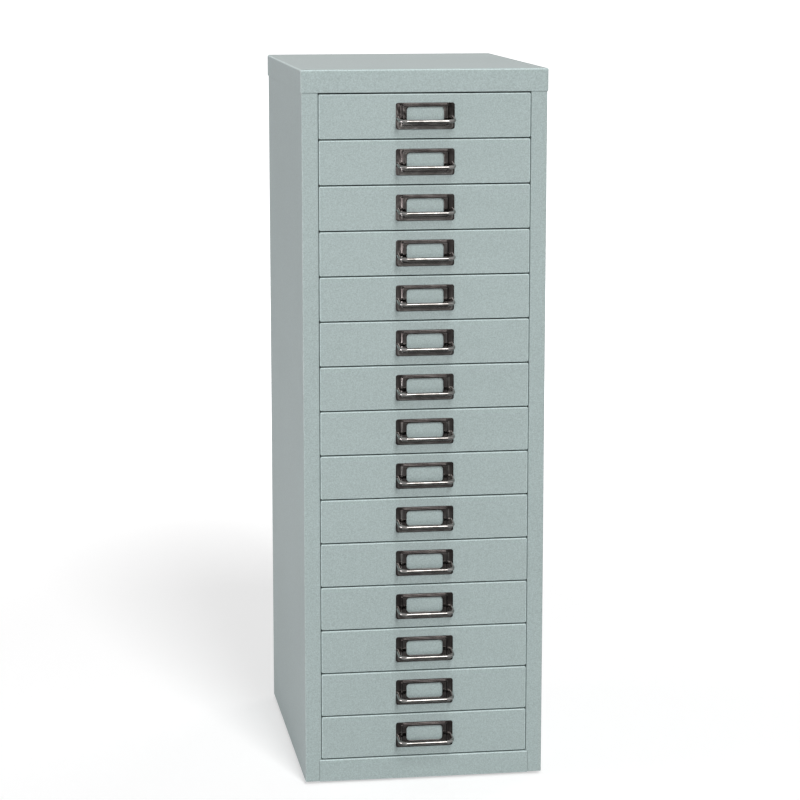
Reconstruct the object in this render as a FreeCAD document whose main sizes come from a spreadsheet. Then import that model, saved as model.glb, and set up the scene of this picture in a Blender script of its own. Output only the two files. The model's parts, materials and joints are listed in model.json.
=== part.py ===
import FreeCAD, Part
import math
import os

import Sketcher

# A free-standing steel cabinet with a column of shallow drawers, in millimetres.
# The front faces -Y and +Z is up. The origin is on the floor, under the middle of the whole box.
# Most pieces are drawn with y = 0 at the front face of the body and z = 0 at the floor, and each
# drawer's pieces with z = 0 at the lower edge of its front. Each body is then placed from there.

# The driving dimensions: name, value in millimetres or a count, and what it measures.
DRIVING = (
    ("overall_height", 860, "floor to the top of the cap"),
    ("body_width", 290, "over the two side panels"),
    ("body_depth", 380, "front face of the stiles to the back of the rear flanges"),
    ("sheet_gauge", 1.0, "thickness of the body's sheet"),
    ("bend_inside", 0.5, "inside radius of the body's folds"),
    ("cap_height", 26.9, "height of the cap's skirt"),
    ("cap_lap", 1.2, "how far the cap stands out past the body on each side"),
    ("cap_edge_radius", 2.0, "rounding of the cap's top edges"),
    ("cap_corner_radius", 1.8, "rounding of the cap's upright corners"),
    ("stile_width", 18.8, "outer wall to the edge of the drawer opening"),
    ("stile_return", 13, "depth of the stile's folded-back edge"),
    ("back_flange", 14, "width of the side panels' rear flanges"),
    ("floor_flange", 20, "width of the side panels' floor flanges"),
    ("flange_relief", 4, "gap left at the rear corner where flanges meet"),
    ("rail_rise", 28.2, "underside of the base to the middle of the lowest gap"),
    ("rail_lip", 13, "depth of the lip folded back from the top of the rail"),
    ("rail_lip_drop", 7.5, "height of the lip's turned-down edge"),
    ("notch_reach", 2.0, "how far the rail reaches in front of each stile's line"),
    ("piece_fit", 0.3, "gap left beside a piece that is fitted into another"),
    ("base_inset", 13, "outer wall to the side edge of the base sheet"),
    ("base_upturn", 15, "height of the base's rear flange"),
    ("glide_height", 3, "floor to the underside of the base"),
    ("glide_radius", 11, "radius of a floor glide"),
    ("glide_stem_radius", 4, "radius of the glide's stem"),
    ("glide_collar_radius", 5, "radius of the barb that holds the stem in its hole"),
    ("glide_barb_height", 3, "height of the barb"),
    ("glide_hole_radius", 4.2, "radius of the hole for the stem"),
    ("glide_across", 110, "middle of the cabinet to a glide"),
    ("glide_front", 30, "front face to the front glides"),
    ("glide_rear", 350, "front face to the rear glides"),
    ("drawer_count", 15, "number of drawers"),
    ("drawer_pitch", 53.4, "height from one drawer to the next"),
    ("front_gap", 1.5, "gap between two drawer fronts"),
    ("side_gap", 1.4, "gap between a drawer front and the stile"),
    ("front_depth", 14, "depth of a drawer front's pan"),
    ("front_gauge", 0.9, "thickness of a drawer front's sheet"),
    ("front_edge_radius", 1.4, "rounding of the edges round a drawer front"),
    ("front_corner_radius", 1.0, "rounding of a drawer front's four corners"),
    ("tray_gauge", 0.8, "thickness of a tray's sheet"),
    ("tray_half_width", 117.5, "middle of a tray to the outside of its wall"),
    ("tray_floor", 3.0, "lower edge of the front to the underside of the tray"),
    ("tray_top", 47.0, "lower edge of the front to the top of the tray's flanges"),
    ("tray_rear", 371, "front face to the back of a tray"),
    ("tray_rear_drop", 3, "how much lower the rear wall is than the flanges"),
    ("tray_bend_inside", 1.2, "inside radius of a tray's long folds"),
    ("flange_reach", 125.4, "middle of a tray to the edge of its flange"),
    ("flange_start", 22, "front face to the front end of the flanges"),
    ("hem_edge_radius", 0.64, "rounding of the flange's hemmed edge"),
    ("runner_mouth", 119.0, "middle of the cabinet to the open edge of a runner"),
    ("runner_start", 15, "front face to the front end of a runner"),
    ("runner_end", 371, "front face to the rear end of a runner"),
    ("runner_play_below", 0.3, "gap under a flange in its runner"),
    ("runner_play_above", 0.7, "gap over a flange in its runner"),
    ("stop_depth", 6, "how far a runner's stop tab hangs below it"),
    ("stop_width", 4, "width of a runner's stop tab"),
    ("lug_reach", 4, "how far a tray's stop lug stands out"),
    ("lug_play", 0.3, "gap between a stop lug and the runner above it"),
    ("travel", 265, "how far a drawer opens"),
    ("stop_clearance", 0.5, "gap between lug and tab with the drawer fully open"),
    ("frame_width", 69.5, "width of a label frame"),
    ("frame_height", 31, "height of a label frame"),
    ("frame_gauge", 0.8, "thickness of a label frame's sheet"),
    ("frame_corner_radius", 2.8, "rounding of a label frame's corners"),
    ("step_side", 6.8, "frame's side edge to its raised middle"),
    ("step_below", 3.9, "frame's lower edge to its raised middle"),
    ("step_above", 1.6, "frame's upper edge to its raised middle"),
    ("step_rise", 1.5, "height of the raised middle above the frame's flange"),
    ("step_corner_radius", 2.4, "rounding of the raised middle's corners"),
    ("step_edge_radius", 0.6, "rounding of the raised middle's rim"),
    ("window_width", 44, "width of the window"),
    ("window_height", 17.8, "height of the window"),
    ("window_below_top", 4.7, "frame's upper edge to the window"),
    ("window_corner_radius", 3.9, "rounding of the window's corners"),
    ("wire_radius", 2.1, "radius of the wire"),
    ("wire_half_width", 32.2, "middle of the frame to an arm's middle line"),
    ("wire_below_top", 20.6, "frame's upper edge to the wire's middle line"),
    ("wire_bend", 8.5, "radius of the wire's middle line at its bends"),
    ("wire_reach", 21.4, "drawer front's face to the bar's middle line"),
    ("wire_end_radius", 1.5, "radius of the turned-down ends of the wire"),
    ("wire_hole_radius", 1.6, "radius of the holes for the wire's ends"),
    ("head_radius", 2.4, "radius of the wire's upset head behind the front"),
    ("head_height", 1.0, "thickness of the upset head"),
)

# Two places this close are the same.
NEAR = 1e-4


class Size:
    """A length that holds its number and the expression that works it out from the sheet."""

    def __init__(self, value, text):
        self.value = float(value)
        self.text = text

    def __add__(self, other):
        other = size(other)
        return Size(self.value + other.value, f"({self.text} + {other.text})")

    def __sub__(self, other):
        other = size(other)
        return Size(self.value - other.value, f"({self.text} - {other.text})")

    def __mul__(self, factor):
        return Size(self.value * factor, f"({self.text} * {factor})")

    def __truediv__(self, factor):
        return Size(self.value / factor, f"({self.text} / {factor})")

    def __neg__(self):
        return self * -1

    __radd__ = __add__
    __rmul__ = __mul__


def size(number):
    """The number as a Size, or the Size as it is."""
    if isinstance(number, Size):
        return number
    return Size(number, str(number))


class Sheet:
    """The spreadsheet of driving dimensions: sheet.body_width is that cell as a Size."""

    def __init__(self, document, name, rows):
        self.name = name
        self.values = {}
        cells = document.addObject("Spreadsheet::Sheet", name)
        for row, (alias, value, meaning) in enumerate(rows, start=1):
            cells.set(f"A{row}", meaning)
            cells.set(f"B{row}", str(value))
            cells.setAlias(f"B{row}", alias)
            self.values[alias] = value

    def __getattr__(self, alias):
        return Size(self.values[alias], f"{self.name}.{alias}")


document = FreeCAD.newDocument("cabinet")
sheet = Sheet(document, "sizes", DRIVING)
document.recompute()

# Levels and lines that several pieces share.
half_width = sheet.body_width / 2
opening_edge = half_width - sheet.stile_width
inner_wall = half_width - sheet.sheet_gauge
side_foot = sheet.glide_height + sheet.sheet_gauge
under_cap = sheet.overall_height - sheet.sheet_gauge
cap_foot = sheet.overall_height - sheet.cap_height
lowest_gap = sheet.glide_height + sheet.rail_rise
rail_top = lowest_gap - sheet.front_gap / 2
front_half_width = opening_edge - sheet.side_gap
front_height = sheet.drawer_pitch - sheet.front_gap

# The pull's bar is the foremost point and the cap's skirt the rearmost, and the origin is midway.
foremost = sheet.wire_reach + sheet.wire_radius
rearmost = sheet.body_depth + sheet.cap_lap
face_line = (foremost - rearmost) / 2

# The flange of a tray is its wall's sheet folded flat on itself, and the runner is made around it.
flange_foot = sheet.tray_top - sheet.tray_gauge * 2
runner_inner_foot = flange_foot - sheet.runner_play_below
runner_inner_top = sheet.tray_top + sheet.runner_play_above
runner_foot = runner_inner_foot - sheet.sheet_gauge
runner_top = runner_inner_top + sheet.sheet_gauge
stop_rear = sheet.runner_start + sheet.sheet_gauge * 2
lug_front = stop_rear + sheet.travel + sheet.stop_clearance

frame_middle = front_height / 2
frame_top = frame_middle + sheet.frame_height / 2
frame_foot = frame_middle - sheet.frame_height / 2
wire_level = frame_top - sheet.wire_below_top


# Sketches and features


def origin_part(body, role):
    """The body's own origin plane or axis with that role."""
    return next(part for part in body.Origin.OriginFeatures if part.Role == role)


def new_body(label, lift=None):
    """An empty body, placed at the face line and lifted to its drawer if lift is given."""
    body = document.addObject("PartDesign::Body", label)
    body.Label = label
    body.setExpression("Placement.Base.y", face_line.text)
    if lift is not None:
        body.setExpression("Placement.Base.z", lift.text)
    return body


def new_sketch(body, name, role, start):
    """A sketch on an origin plane, moved start along the axis that crosses the plane."""
    sketch = body.newObject("Sketcher::SketchObject", f"{body.Name}_{name}_sketch")
    sketch.AttachmentSupport = [(origin_part(body, role), "")]
    sketch.MapMode = "FlatFace"
    # The XZ plane's own normal points to -Y.
    offset = -size(start) if role == "XZ_Plane" else size(start)
    sketch.setExpression("AttachmentOffset.Base.z", offset.text)
    return sketch


def fix(sketch, kind, place, length):
    """A dimension bound to the sheet: place is the geometry it acts on."""
    index = sketch.addConstraint(Sketcher.Constraint(kind, *place, length.value))
    name = f"{kind}_{index}"
    sketch.renameConstraint(index, name)
    sketch.setExpression(f"Constraints.{name}", length.text)


def fix_point(sketch, line, end, point):
    """Both coordinates of a line's end, measured from the sketch's origin."""
    for kind, length in zip(("DistanceX", "DistanceY"), point):
        fix(sketch, kind, (-1, 1, line, end), size(length))


def draw_outline(sketch, points):
    """A closed outline of straight lines through the points."""
    corners = [FreeCAD.Vector(size(x).value, size(y).value, 0) for x, y in points]
    count = len(corners)
    first = sketch.GeometryCount
    for i in range(count):
        sketch.addGeometry(Part.LineSegment(corners[i], corners[(i + 1) % count]), False)
    for i in range(count):
        follower = first + (i + 1) % count
        sketch.addConstraint(Sketcher.Constraint("Coincident", first + i, 2, follower, 1))
    for i, point in enumerate(points):
        fix_point(sketch, first + i, 1, point)


def draw_circle(sketch, centre, radius):
    """A circle with its centre and radius bound to the sheet."""
    x, y = (size(length) for length in centre)
    middle = FreeCAD.Vector(x.value, y.value, 0)
    index = sketch.addGeometry(Part.Circle(middle, FreeCAD.Vector(0, 0, 1), radius.value), False)
    fix(sketch, "Radius", (index,), radius)
    fix_point(sketch, index, 3, (x, y))


def rectangle(x_low, x_high, y_low, y_high):
    """The outline of a rectangle."""
    return [(x_low, y_low), (x_high, y_low), (x_high, y_high), (x_low, y_high)]


def pad(body, name, role, start, end, outlines=(), circles=()):
    """Adds the outlines and circles, drawn on a plane, from start to end along the axis across it."""
    sketch = new_sketch(body, name, role, start)
    for points in outlines:
        draw_outline(sketch, points)
    for centre, radius in circles:
        draw_circle(sketch, centre, radius)
    feature = body.newObject("PartDesign::Pad", f"{body.Name}_{name}")
    feature.Profile = sketch
    feature.Reversed = role == "XZ_Plane"
    feature.setExpression("Length", (size(end) - start).text)
    document.recompute()
    return feature


def pocket(body, name, role, start, end, outlines=(), circles=()):
    """Cuts the outlines and circles away from start to end, and makes sure that it cut something."""
    before = body.Shape.Volume
    sketch = new_sketch(body, name, role, start)
    for points in outlines:
        draw_outline(sketch, points)
    for centre, radius in circles:
        draw_circle(sketch, centre, radius)
    feature = body.newObject("PartDesign::Pocket", f"{body.Name}_{name}")
    feature.Profile = sketch
    feature.Reversed = role != "XZ_Plane"
    feature.setExpression("Length", (size(end) - start).text)
    document.recompute()
    if body.Shape.Volume > before - NEAR:
        raise RuntimeError(f"{feature.Name} cuts nothing")
    return feature


def edges_through(shape, axis, places):
    """Names of the straight edges along an axis (0 for X) whose other two coordinates match a place."""
    across = [i for i in range(3) if i != axis]
    wanted = [[size(length).value for length in place] for place in places]
    names = []
    for number, edge in enumerate(shape.Edges, start=1):
        start, end = edge.Vertexes[0].Point, edge.Vertexes[-1].Point
        if any(abs(start[i] - end[i]) > NEAR for i in across) or (end - start).Length < NEAR:
            continue
        here = [start[i] for i in across]
        if any(max(abs(a - b) for a, b in zip(here, place)) < NEAR for place in wanted):
            names.append(f"Edge{number}")
    return names


def edges_at(shape, axis, level):
    """Names of the edges that lie in the plane at that level of an axis."""
    names = []
    for number, edge in enumerate(shape.Edges, start=1):
        box = edge.BoundBox
        low, high = (box.XMin, box.YMin, box.ZMin)[axis], (box.XMax, box.YMax, box.ZMax)[axis]
        if abs(low - level.value) < NEAR and abs(high - level.value) < NEAR:
            names.append(f"Edge{number}")
    return names


def fillet(body, name, radius, edges):
    """Rounds the named edges of the body's last feature."""
    if not edges:
        raise RuntimeError(f"{body.Name}_{name} finds no edges")
    base = body.Tip
    feature = body.newObject("PartDesign::Fillet", f"{body.Name}_{name}")
    feature.Base = (base, edges)
    feature.setExpression("Radius", size(radius).text)
    document.recompute()
    return feature


def fold(body, name, axis, outside, inside, inner_radius, gauge):
    """Rounds a sheet's folds: the outer side by the inside radius plus the sheet, and the inner side."""
    outer_edges = edges_through(body.Tip.Shape, axis, outside)
    fillet(body, f"{name}_outside", inner_radius + gauge, outer_edges)
    inner_edges = edges_through(body.Tip.Shape, axis, inside)
    fillet(body, f"{name}_inside", inner_radius, inner_edges)


# The body of the cabinet


def side_panel(label, hand):
    """Outer wall, front stile with its folded-back edge, rear flange and floor flange."""
    body = new_body(label)
    gauge = sheet.sheet_gauge
    depth = sheet.body_depth
    wall = [
        (hand * half_width, depth),
        (hand * half_width, 0),
        (hand * opening_edge, 0),
        (hand * opening_edge, sheet.stile_return),
        (hand * (opening_edge + gauge), sheet.stile_return),
        (hand * (opening_edge + gauge), gauge),
        (hand * inner_wall, gauge),
        (hand * inner_wall, depth - gauge),
        (hand * (half_width - sheet.back_flange), depth - gauge),
        (hand * (half_width - sheet.back_flange), depth),
    ]
    pad(body, "wall", "XY_Plane", side_foot, under_cap, [wall])
    outside = [wall[0], wall[1], wall[2]]
    inside = [wall[5], wall[6], wall[7]]
    fold(body, "fold", 2, outside, inside, sheet.bend_inside, gauge)
    flange = rectangle(
        hand * inner_wall,
        hand * (half_width - sheet.floor_flange),
        sheet.stile_return + gauge,
        depth - sheet.flange_relief,
    )
    pad(body, "floor_flange", "XY_Plane", side_foot, side_foot + gauge, [flange])
    notch = rectangle(
        hand * (opening_edge + sheet.notch_reach),
        hand * (opening_edge - gauge),
        -gauge,
        sheet.stile_return + gauge,
    )
    notch_top = rail_top + sheet.piece_fit
    pocket(body, "rail_notch", "XY_Plane", side_foot - gauge, notch_top, [notch])
    return body


def back_panel(label):
    """A flat sheet inside the rear flanges, with a flange under the cap."""
    body = new_body(label)
    gauge = sheet.sheet_gauge
    rear = sheet.body_depth - gauge
    section = [
        (rear, side_foot),
        (rear, under_cap),
        (rear - sheet.rail_lip, under_cap),
        (rear - sheet.rail_lip, under_cap - gauge),
        (rear - gauge, under_cap - gauge),
        (rear - gauge, side_foot),
    ]
    reach = inner_wall - sheet.bend_inside - sheet.piece_fit
    pad(body, "sheet", "YZ_Plane", -reach, reach, [section])
    fold(body, "fold", 0, [section[1]], [section[4]], sheet.bend_inside, gauge)
    return body


def base_panel(label):
    """Floor sheet whose front edge is folded up as the rail below the last drawer."""
    body = new_body(label)
    gauge = sheet.sheet_gauge
    foot = sheet.glide_height
    rear = sheet.body_depth - gauge * 2
    lip_foot = rail_top - sheet.rail_lip_drop
    section = [
        (0, foot),
        (0, rail_top),
        (sheet.rail_lip, rail_top),
        (sheet.rail_lip, lip_foot),
        (sheet.rail_lip - gauge, lip_foot),
        (sheet.rail_lip - gauge, rail_top - gauge),
        (gauge, rail_top - gauge),
        (gauge, foot + gauge),
        (rear - gauge, foot + gauge),
        (rear - gauge, foot + sheet.base_upturn),
        (rear, foot + sheet.base_upturn),
        (rear, foot),
    ]
    rail_reach = opening_edge + sheet.notch_reach - sheet.piece_fit
    pad(body, "sheet", "YZ_Plane", -rail_reach, rail_reach, [section])
    outside = [section[0], section[1], section[2], section[11]]
    inside = [section[5], section[6], section[7], section[8]]
    fold(body, "fold", 0, outside, inside, sheet.bend_inside, gauge)
    floor_reach = half_width - sheet.base_inset
    floor = rectangle(
        -floor_reach, floor_reach, sheet.flange_relief, sheet.body_depth - sheet.flange_relief
    )
    pad(body, "floor", "XY_Plane", foot, foot + gauge, [floor])
    holes = [(place, sheet.glide_hole_radius) for place in glide_places().values()]
    pocket(body, "glide_holes", "XY_Plane", foot - gauge, foot + gauge * 2, circles=holes)
    return body


def head_rail(label):
    """A folded channel between the stiles, behind the cap's skirt."""
    body = new_body(label)
    gauge = sheet.sheet_gauge
    foot = cap_foot + sheet.bend_inside
    section = [
        (sheet.rail_lip, foot),
        (0, foot),
        (0, under_cap),
        (sheet.rail_lip, under_cap),
        (sheet.rail_lip, under_cap - gauge),
        (gauge, under_cap - gauge),
        (gauge, foot + gauge),
        (sheet.rail_lip, foot + gauge),
    ]
    pad(body, "channel", "YZ_Plane", -opening_edge, opening_edge, [section])
    outside = [section[1], section[2]]
    inside = [section[5], section[6]]
    fold(body, "fold", 0, outside, inside, sheet.bend_inside, gauge)
    return body


def top_cap(label):
    """A pressed lid with a skirt all round and soft edges."""
    body = new_body(label)
    gauge = sheet.sheet_gauge
    lap = sheet.cap_lap
    reach = half_width + lap
    outer = rectangle(-reach, reach, -lap, sheet.body_depth + lap)
    block = pad(body, "block", "XY_Plane", cap_foot, sheet.overall_height, [outer])
    fillet(body, "corners", sheet.cap_corner_radius, edges_through(block.Shape, 2, outer))
    fillet(body, "edges", sheet.cap_edge_radius, edges_at(body.Tip.Shape, 2, sheet.overall_height))
    inset = lap - gauge
    inner_reach = half_width + inset
    inner = rectangle(-inner_reach, inner_reach, -inset, sheet.body_depth + inset)
    pocket(body, "hollow", "XY_Plane", cap_foot, under_cap, [inner])
    return body


def runner_row(label, hand):
    """One folded channel for each drawer on one side, each with a stop tab bent down from it."""
    body = new_body(label, lift=lowest_gap + sheet.front_gap / 2)
    gauge = sheet.sheet_gauge
    mouth = sheet.runner_mouth
    channel = [
        (hand * inner_wall, runner_foot),
        (hand * mouth, runner_foot),
        (hand * mouth, runner_inner_foot),
        (hand * (inner_wall - gauge), runner_inner_foot),
        (hand * (inner_wall - gauge), runner_inner_top),
        (hand * mouth, runner_inner_top),
        (hand * mouth, runner_top),
        (hand * inner_wall, runner_top),
    ]
    pad(body, "channel", "XZ_Plane", sheet.runner_start, sheet.runner_end, [channel])
    outside = [channel[0], channel[7]]
    inside = [channel[3], channel[4]]
    fold(body, "fold", 1, outside, inside, sheet.bend_inside, gauge)
    tab = rectangle(
        hand * mouth,
        hand * (mouth + sheet.stop_width),
        runner_foot - sheet.stop_depth,
        runner_foot + gauge / 2,
    )
    pad(body, "stop_tab", "XZ_Plane", stop_rear - gauge, stop_rear, [tab])
    row = body.newObject("PartDesign::LinearPattern", f"{body.Name}_row")
    row.TransformMode = "Whole shape"
    row.Direction = (origin_part(body, "Z_Axis"), [""])
    row.setExpression("Length", (sheet.drawer_pitch * (sheet.drawer_count.value - 1)).text)
    row.setExpression("Occurrences", sheet.drawer_count.text)
    body.Tip = row
    document.recompute()
    return body


def glide_places():
    """Name of each floor glide and its place on the base, measured from the front face."""
    rows = (("front", sheet.glide_front), ("rear", sheet.glide_rear))
    sides = (("left", -1), ("right", 1))
    across = sheet.glide_across
    return {f"glide_{row}_{side}": (hand * across, y) for row, y in rows for side, hand in sides}


def glide(label, place):
    """A turned foot with a stem and a barb that snaps through the hole in the base."""
    body = new_body(label)
    x, y = place
    body.setExpression("Placement.Base.x", x.text)
    body.setExpression("Placement.Base.y", (face_line + y).text)
    gauge = sheet.sheet_gauge
    stem = sheet.glide_stem_radius
    collar = sheet.glide_collar_radius
    top = sheet.glide_height
    profile = [
        (0, 0),
        (sheet.glide_radius - gauge, 0),
        (sheet.glide_radius, gauge),
        (sheet.glide_radius, top),
        (stem, top),
        (stem, top + gauge),
        (collar, top + gauge),
        (stem, top + gauge + sheet.glide_barb_height),
        (0, top + gauge + sheet.glide_barb_height),
    ]
    sketch = new_sketch(body, "profile", "XZ_Plane", 0)
    draw_outline(sketch, profile)
    turned = body.newObject("PartDesign::Revolution", f"{body.Name}_turned")
    turned.Profile = sketch
    turned.ReferenceAxis = (origin_part(body, "Z_Axis"), [""])
    turned.Angle = 360
    document.recompute()
    return body


# One drawer


def drawer_front(label, lift):
    """A folded pan, open at the back, with holes for the wire's ends."""
    body = new_body(label, lift)
    outer = rectangle(-front_half_width, front_half_width, 0, front_height)
    block = pad(body, "block", "XZ_Plane", 0, sheet.front_depth, [outer])
    fillet(body, "corners", sheet.front_corner_radius, edges_through(block.Shape, 1, outer))
    fillet(body, "edges", sheet.front_edge_radius, edges_at(body.Tip.Shape, 1, size(0)))
    gauge = sheet.front_gauge
    reach = front_half_width - gauge
    inner = rectangle(-reach, reach, gauge, front_height - gauge)
    pocket(body, "hollow", "XZ_Plane", gauge, sheet.front_depth, [inner])
    pocket(body, "wire_holes", "XZ_Plane", -gauge, gauge * 2, circles=wire_holes())
    return body


def drawer_tray(label, lift):
    """A folded tray: long walls and floor, front and rear walls, hemmed flanges and stop lugs."""
    body = new_body(label, lift)
    gauge = sheet.tray_gauge
    wall = sheet.tray_half_width
    floor = sheet.tray_floor
    top = sheet.tray_top
    trough = [
        (-wall, top),
        (-wall, floor),
        (wall, floor),
        (wall, top),
        (wall - gauge, top),
        (wall - gauge, floor + gauge),
        (gauge - wall, floor + gauge),
        (gauge - wall, top),
    ]
    pad(body, "trough", "XZ_Plane", sheet.front_depth, sheet.tray_rear, [trough])
    outside = [trough[1], trough[2]]
    inside = [trough[5], trough[6]]
    fold(body, "fold", 1, outside, inside, sheet.tray_bend_inside, gauge)
    reach = front_half_width - sheet.front_gauge - sheet.piece_fit
    plate = rectangle(-reach, reach, floor, front_height - sheet.front_gauge - sheet.piece_fit)
    pad(body, "front_wall", "XZ_Plane", sheet.front_depth - gauge, sheet.front_depth, [plate])
    rear = rectangle(gauge - wall, wall - gauge, floor + gauge, top - sheet.tray_rear_drop)
    pad(body, "rear_wall", "XZ_Plane", sheet.tray_rear - gauge, sheet.tray_rear, [rear])
    sides = (-1, 1)
    root = wall - gauge / 2
    hems = [
        rectangle(hand * root, hand * sheet.flange_reach, flange_foot, top) for hand in sides
    ]
    pad(body, "hems", "XZ_Plane", sheet.flange_start, sheet.tray_rear, hems)
    rims = [(hand * sheet.flange_reach, level) for hand in sides for level in (flange_foot, top)]
    fillet(body, "rims", sheet.hem_edge_radius, edges_through(body.Tip.Shape, 1, rims))
    lug_top = runner_foot - sheet.lug_play
    lugs = [
        rectangle(hand * root, hand * (wall + sheet.lug_reach), lug_top - sheet.stop_depth, lug_top)
        for hand in sides
    ]
    pad(body, "stop_lugs", "XZ_Plane", lug_front, lug_front + gauge, lugs)
    return body


def wire_holes():
    """The places of the two holes for the wire's ends, with their radius."""
    return [((hand * sheet.wire_half_width, wire_level), sheet.wire_hole_radius) for hand in (-1, 1)]


def label_frame(label, lift):
    """A pressed frame: a flange on the drawer's face, a raised middle and a window through it."""
    body = new_body(label, lift)
    gauge = sheet.frame_gauge
    half = sheet.frame_width / 2
    plate = rectangle(-half, half, frame_foot, frame_top)
    base = pad(body, "flange", "XZ_Plane", -gauge, 0, [plate])
    fillet(body, "corners", sheet.frame_corner_radius, edges_through(base.Shape, 1, plate))
    step = half - sheet.step_side
    step_foot = frame_foot + sheet.step_below
    step_top = frame_top - sheet.step_above
    crest = -gauge - sheet.step_rise
    raised = rectangle(-step, step, step_foot, step_top)
    pad(body, "raised", "XZ_Plane", crest, -gauge, [raised])
    fillet(body, "step_corners", sheet.step_corner_radius, edges_through(body.Tip.Shape, 1, raised))
    fillet(body, "step_rim", sheet.step_edge_radius, edges_at(body.Tip.Shape, 1, crest))
    relief = rectangle(gauge - step, step - gauge, step_foot + gauge, step_top - gauge)
    pocket(body, "relief", "XZ_Plane", crest + gauge, 0, [relief])
    window_half = sheet.window_width / 2
    window_top = frame_top - sheet.window_below_top
    window = rectangle(-window_half, window_half, window_top - sheet.window_height, window_top)
    pocket(body, "window", "XZ_Plane", crest - gauge, 0, [window])
    fillet(body, "window_corners", sheet.window_corner_radius, edges_through(body.Tip.Shape, 1, window))
    pocket(body, "wire_holes", "XZ_Plane", -gauge * 2, 0, circles=wire_holes())
    return body


def wire_handle(label, lift):
    """A wire bent to a U: it stands on the frame, and its thinner ends are upset behind the front."""
    body = new_body(label, lift)
    across = sheet.wire_half_width
    bend = sheet.wire_bend
    bar = -sheet.wire_reach
    foot = -sheet.frame_gauge
    path = new_sketch(body, "path", "XY_Plane", wire_level)
    left, right, front, back = -across.value, across.value, bar.value, foot.value
    inner_left, inner_right, bend_line = left + bend.value, right - bend.value, front + bend.value
    normal = FreeCAD.Vector(0, 0, 1)

    def point(x, y):
        return FreeCAD.Vector(x, y, 0)

    def arc(x, turn_start, turn_end):
        circle = Part.Circle(point(x, bend_line), normal, bend.value)
        return Part.ArcOfCircle(circle, turn_start, turn_end)

    quarter = math.pi / 2
    path.addGeometry(Part.LineSegment(point(left, back), point(left, bend_line)), False)
    path.addGeometry(arc(inner_left, 2 * quarter, 3 * quarter), False)
    path.addGeometry(Part.LineSegment(point(inner_left, front), point(inner_right, front)), False)
    path.addGeometry(arc(inner_right, 3 * quarter, 4 * quarter), False)
    path.addGeometry(Part.LineSegment(point(right, bend_line), point(right, back)), False)
    for piece in range(4):
        path.addConstraint(Sketcher.Constraint("Tangent", piece, 2, piece + 1, 1))
    path.addConstraint(Sketcher.Constraint("Vertical", 0))
    path.addConstraint(Sketcher.Constraint("Vertical", 4))
    fix_point(path, 0, 1, (-across, foot))
    fix_point(path, 4, 2, (across, foot))
    fix(path, "DistanceY", (-1, 1, 2, 1), bar)
    fix(path, "Radius", (1,), bend)
    fix(path, "Radius", (3,), bend)

    section = new_sketch(body, "section", "XZ_Plane", foot)
    draw_circle(section, (-across, wire_level), sheet.wire_radius)
    document.recompute()
    wire = body.newObject("PartDesign::AdditivePipe", f"{body.Name}_wire")
    wire.Profile = section
    wire.Spine = (path, [f"Edge{number}" for number in range(1, 6)])
    document.recompute()

    places = [(hand * across, wire_level) for hand in (-1, 1)]
    front_back = sheet.front_gauge
    ends = [(place, sheet.wire_end_radius) for place in places]
    pad(body, "ends", "XZ_Plane", foot, front_back, circles=ends)
    heads = [(place, sheet.head_radius) for place in places]
    pad(body, "heads", "XZ_Plane", front_back, front_back + sheet.head_height, circles=heads)
    return body


def drawer_pull(label, lift):
    """The label frame and the wire handle that holds it on, as two solids of one node."""
    frame = label_frame(f"{label}_frame", lift)
    wire = wire_handle(f"{label}_wire", lift)
    pull = document.addObject("Part::Compound", label)
    pull.Label = label
    pull.Links = [frame, wire]
    document.recompute()
    return pull


# Every sub-part with the number of solids that it should have.

count = int(sheet.drawer_count.value)
parts = {
    "side_left": (side_panel("side_left", -1), 1),
    "side_right": (side_panel("side_right", 1), 1),
    "back_panel": (back_panel("back_panel"), 1),
    "base_panel": (base_panel("base_panel"), 1),
    "head_rail": (head_rail("head_rail"), 1),
    "top_cap": (top_cap("top_cap"), 1),
    "runners_left": (runner_row("runners_left", -1), count),
    "runners_right": (runner_row("runners_right", 1), count),
}
for name, place in glide_places().items():
    parts[name] = (glide(name, place), 1)
for number in range(1, count + 1):
    lift = lowest_gap + sheet.front_gap / 2 + sheet.drawer_pitch * (count - number)
    name = f"drawer_{number:02d}"
    parts[f"{name}_front"] = (drawer_front(f"{name}_front", lift), 1)
    parts[f"{name}_tray"] = (drawer_tray(f"{name}_tray", lift), 1)
    parts[f"{name}_pull"] = (drawer_pull(f"{name}_pull", lift), 2)

document.recompute()
for item in document.Objects:
    if "Invalid" in item.State or "Error" in item.State:
        raise RuntimeError(f"{item.Name} failed: {item.State}")
for name, (item, solids) in parts.items():
    shape = item.Shape
    if item.Label != name or shape.isNull() or not shape.isValid() or len(shape.Solids) != solids:
        raise RuntimeError(f"{name} is not {solids} valid solids under its own label")

os.makedirs("parts", exist_ok=True)
for name, (item, solids) in parts.items():
    item.Shape.exportStep(f"parts/{name}.step")

every_piece = Part.makeCompound([item.Shape for item, solids in parts.values()])
whole = every_piece.optimalBoundingBox(False, False)
print(f"{len(parts)} sub-parts, {whole.XLength:.2f} x {whole.YLength:.2f} x {whole.ZLength:.2f} mm")
print(f"middle {whole.Center.x:.3f}, {whole.Center.y:.3f}, lowest {whole.ZMin:.3f}")
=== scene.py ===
"""Looks of the tall steel cabinet with fifteen paper drawers.

Lengths are in metres in the frame's own axes: +Z is up, the front faces -Y and +X is to the right
of someone who faces it. Sheets are surfaces worked out as whole arrays, laid where the frame has
them.
"""
import json
import logging
import math
from collections.abc import Iterable, Sequence
from dataclasses import dataclass, field
from enum import Enum

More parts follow.
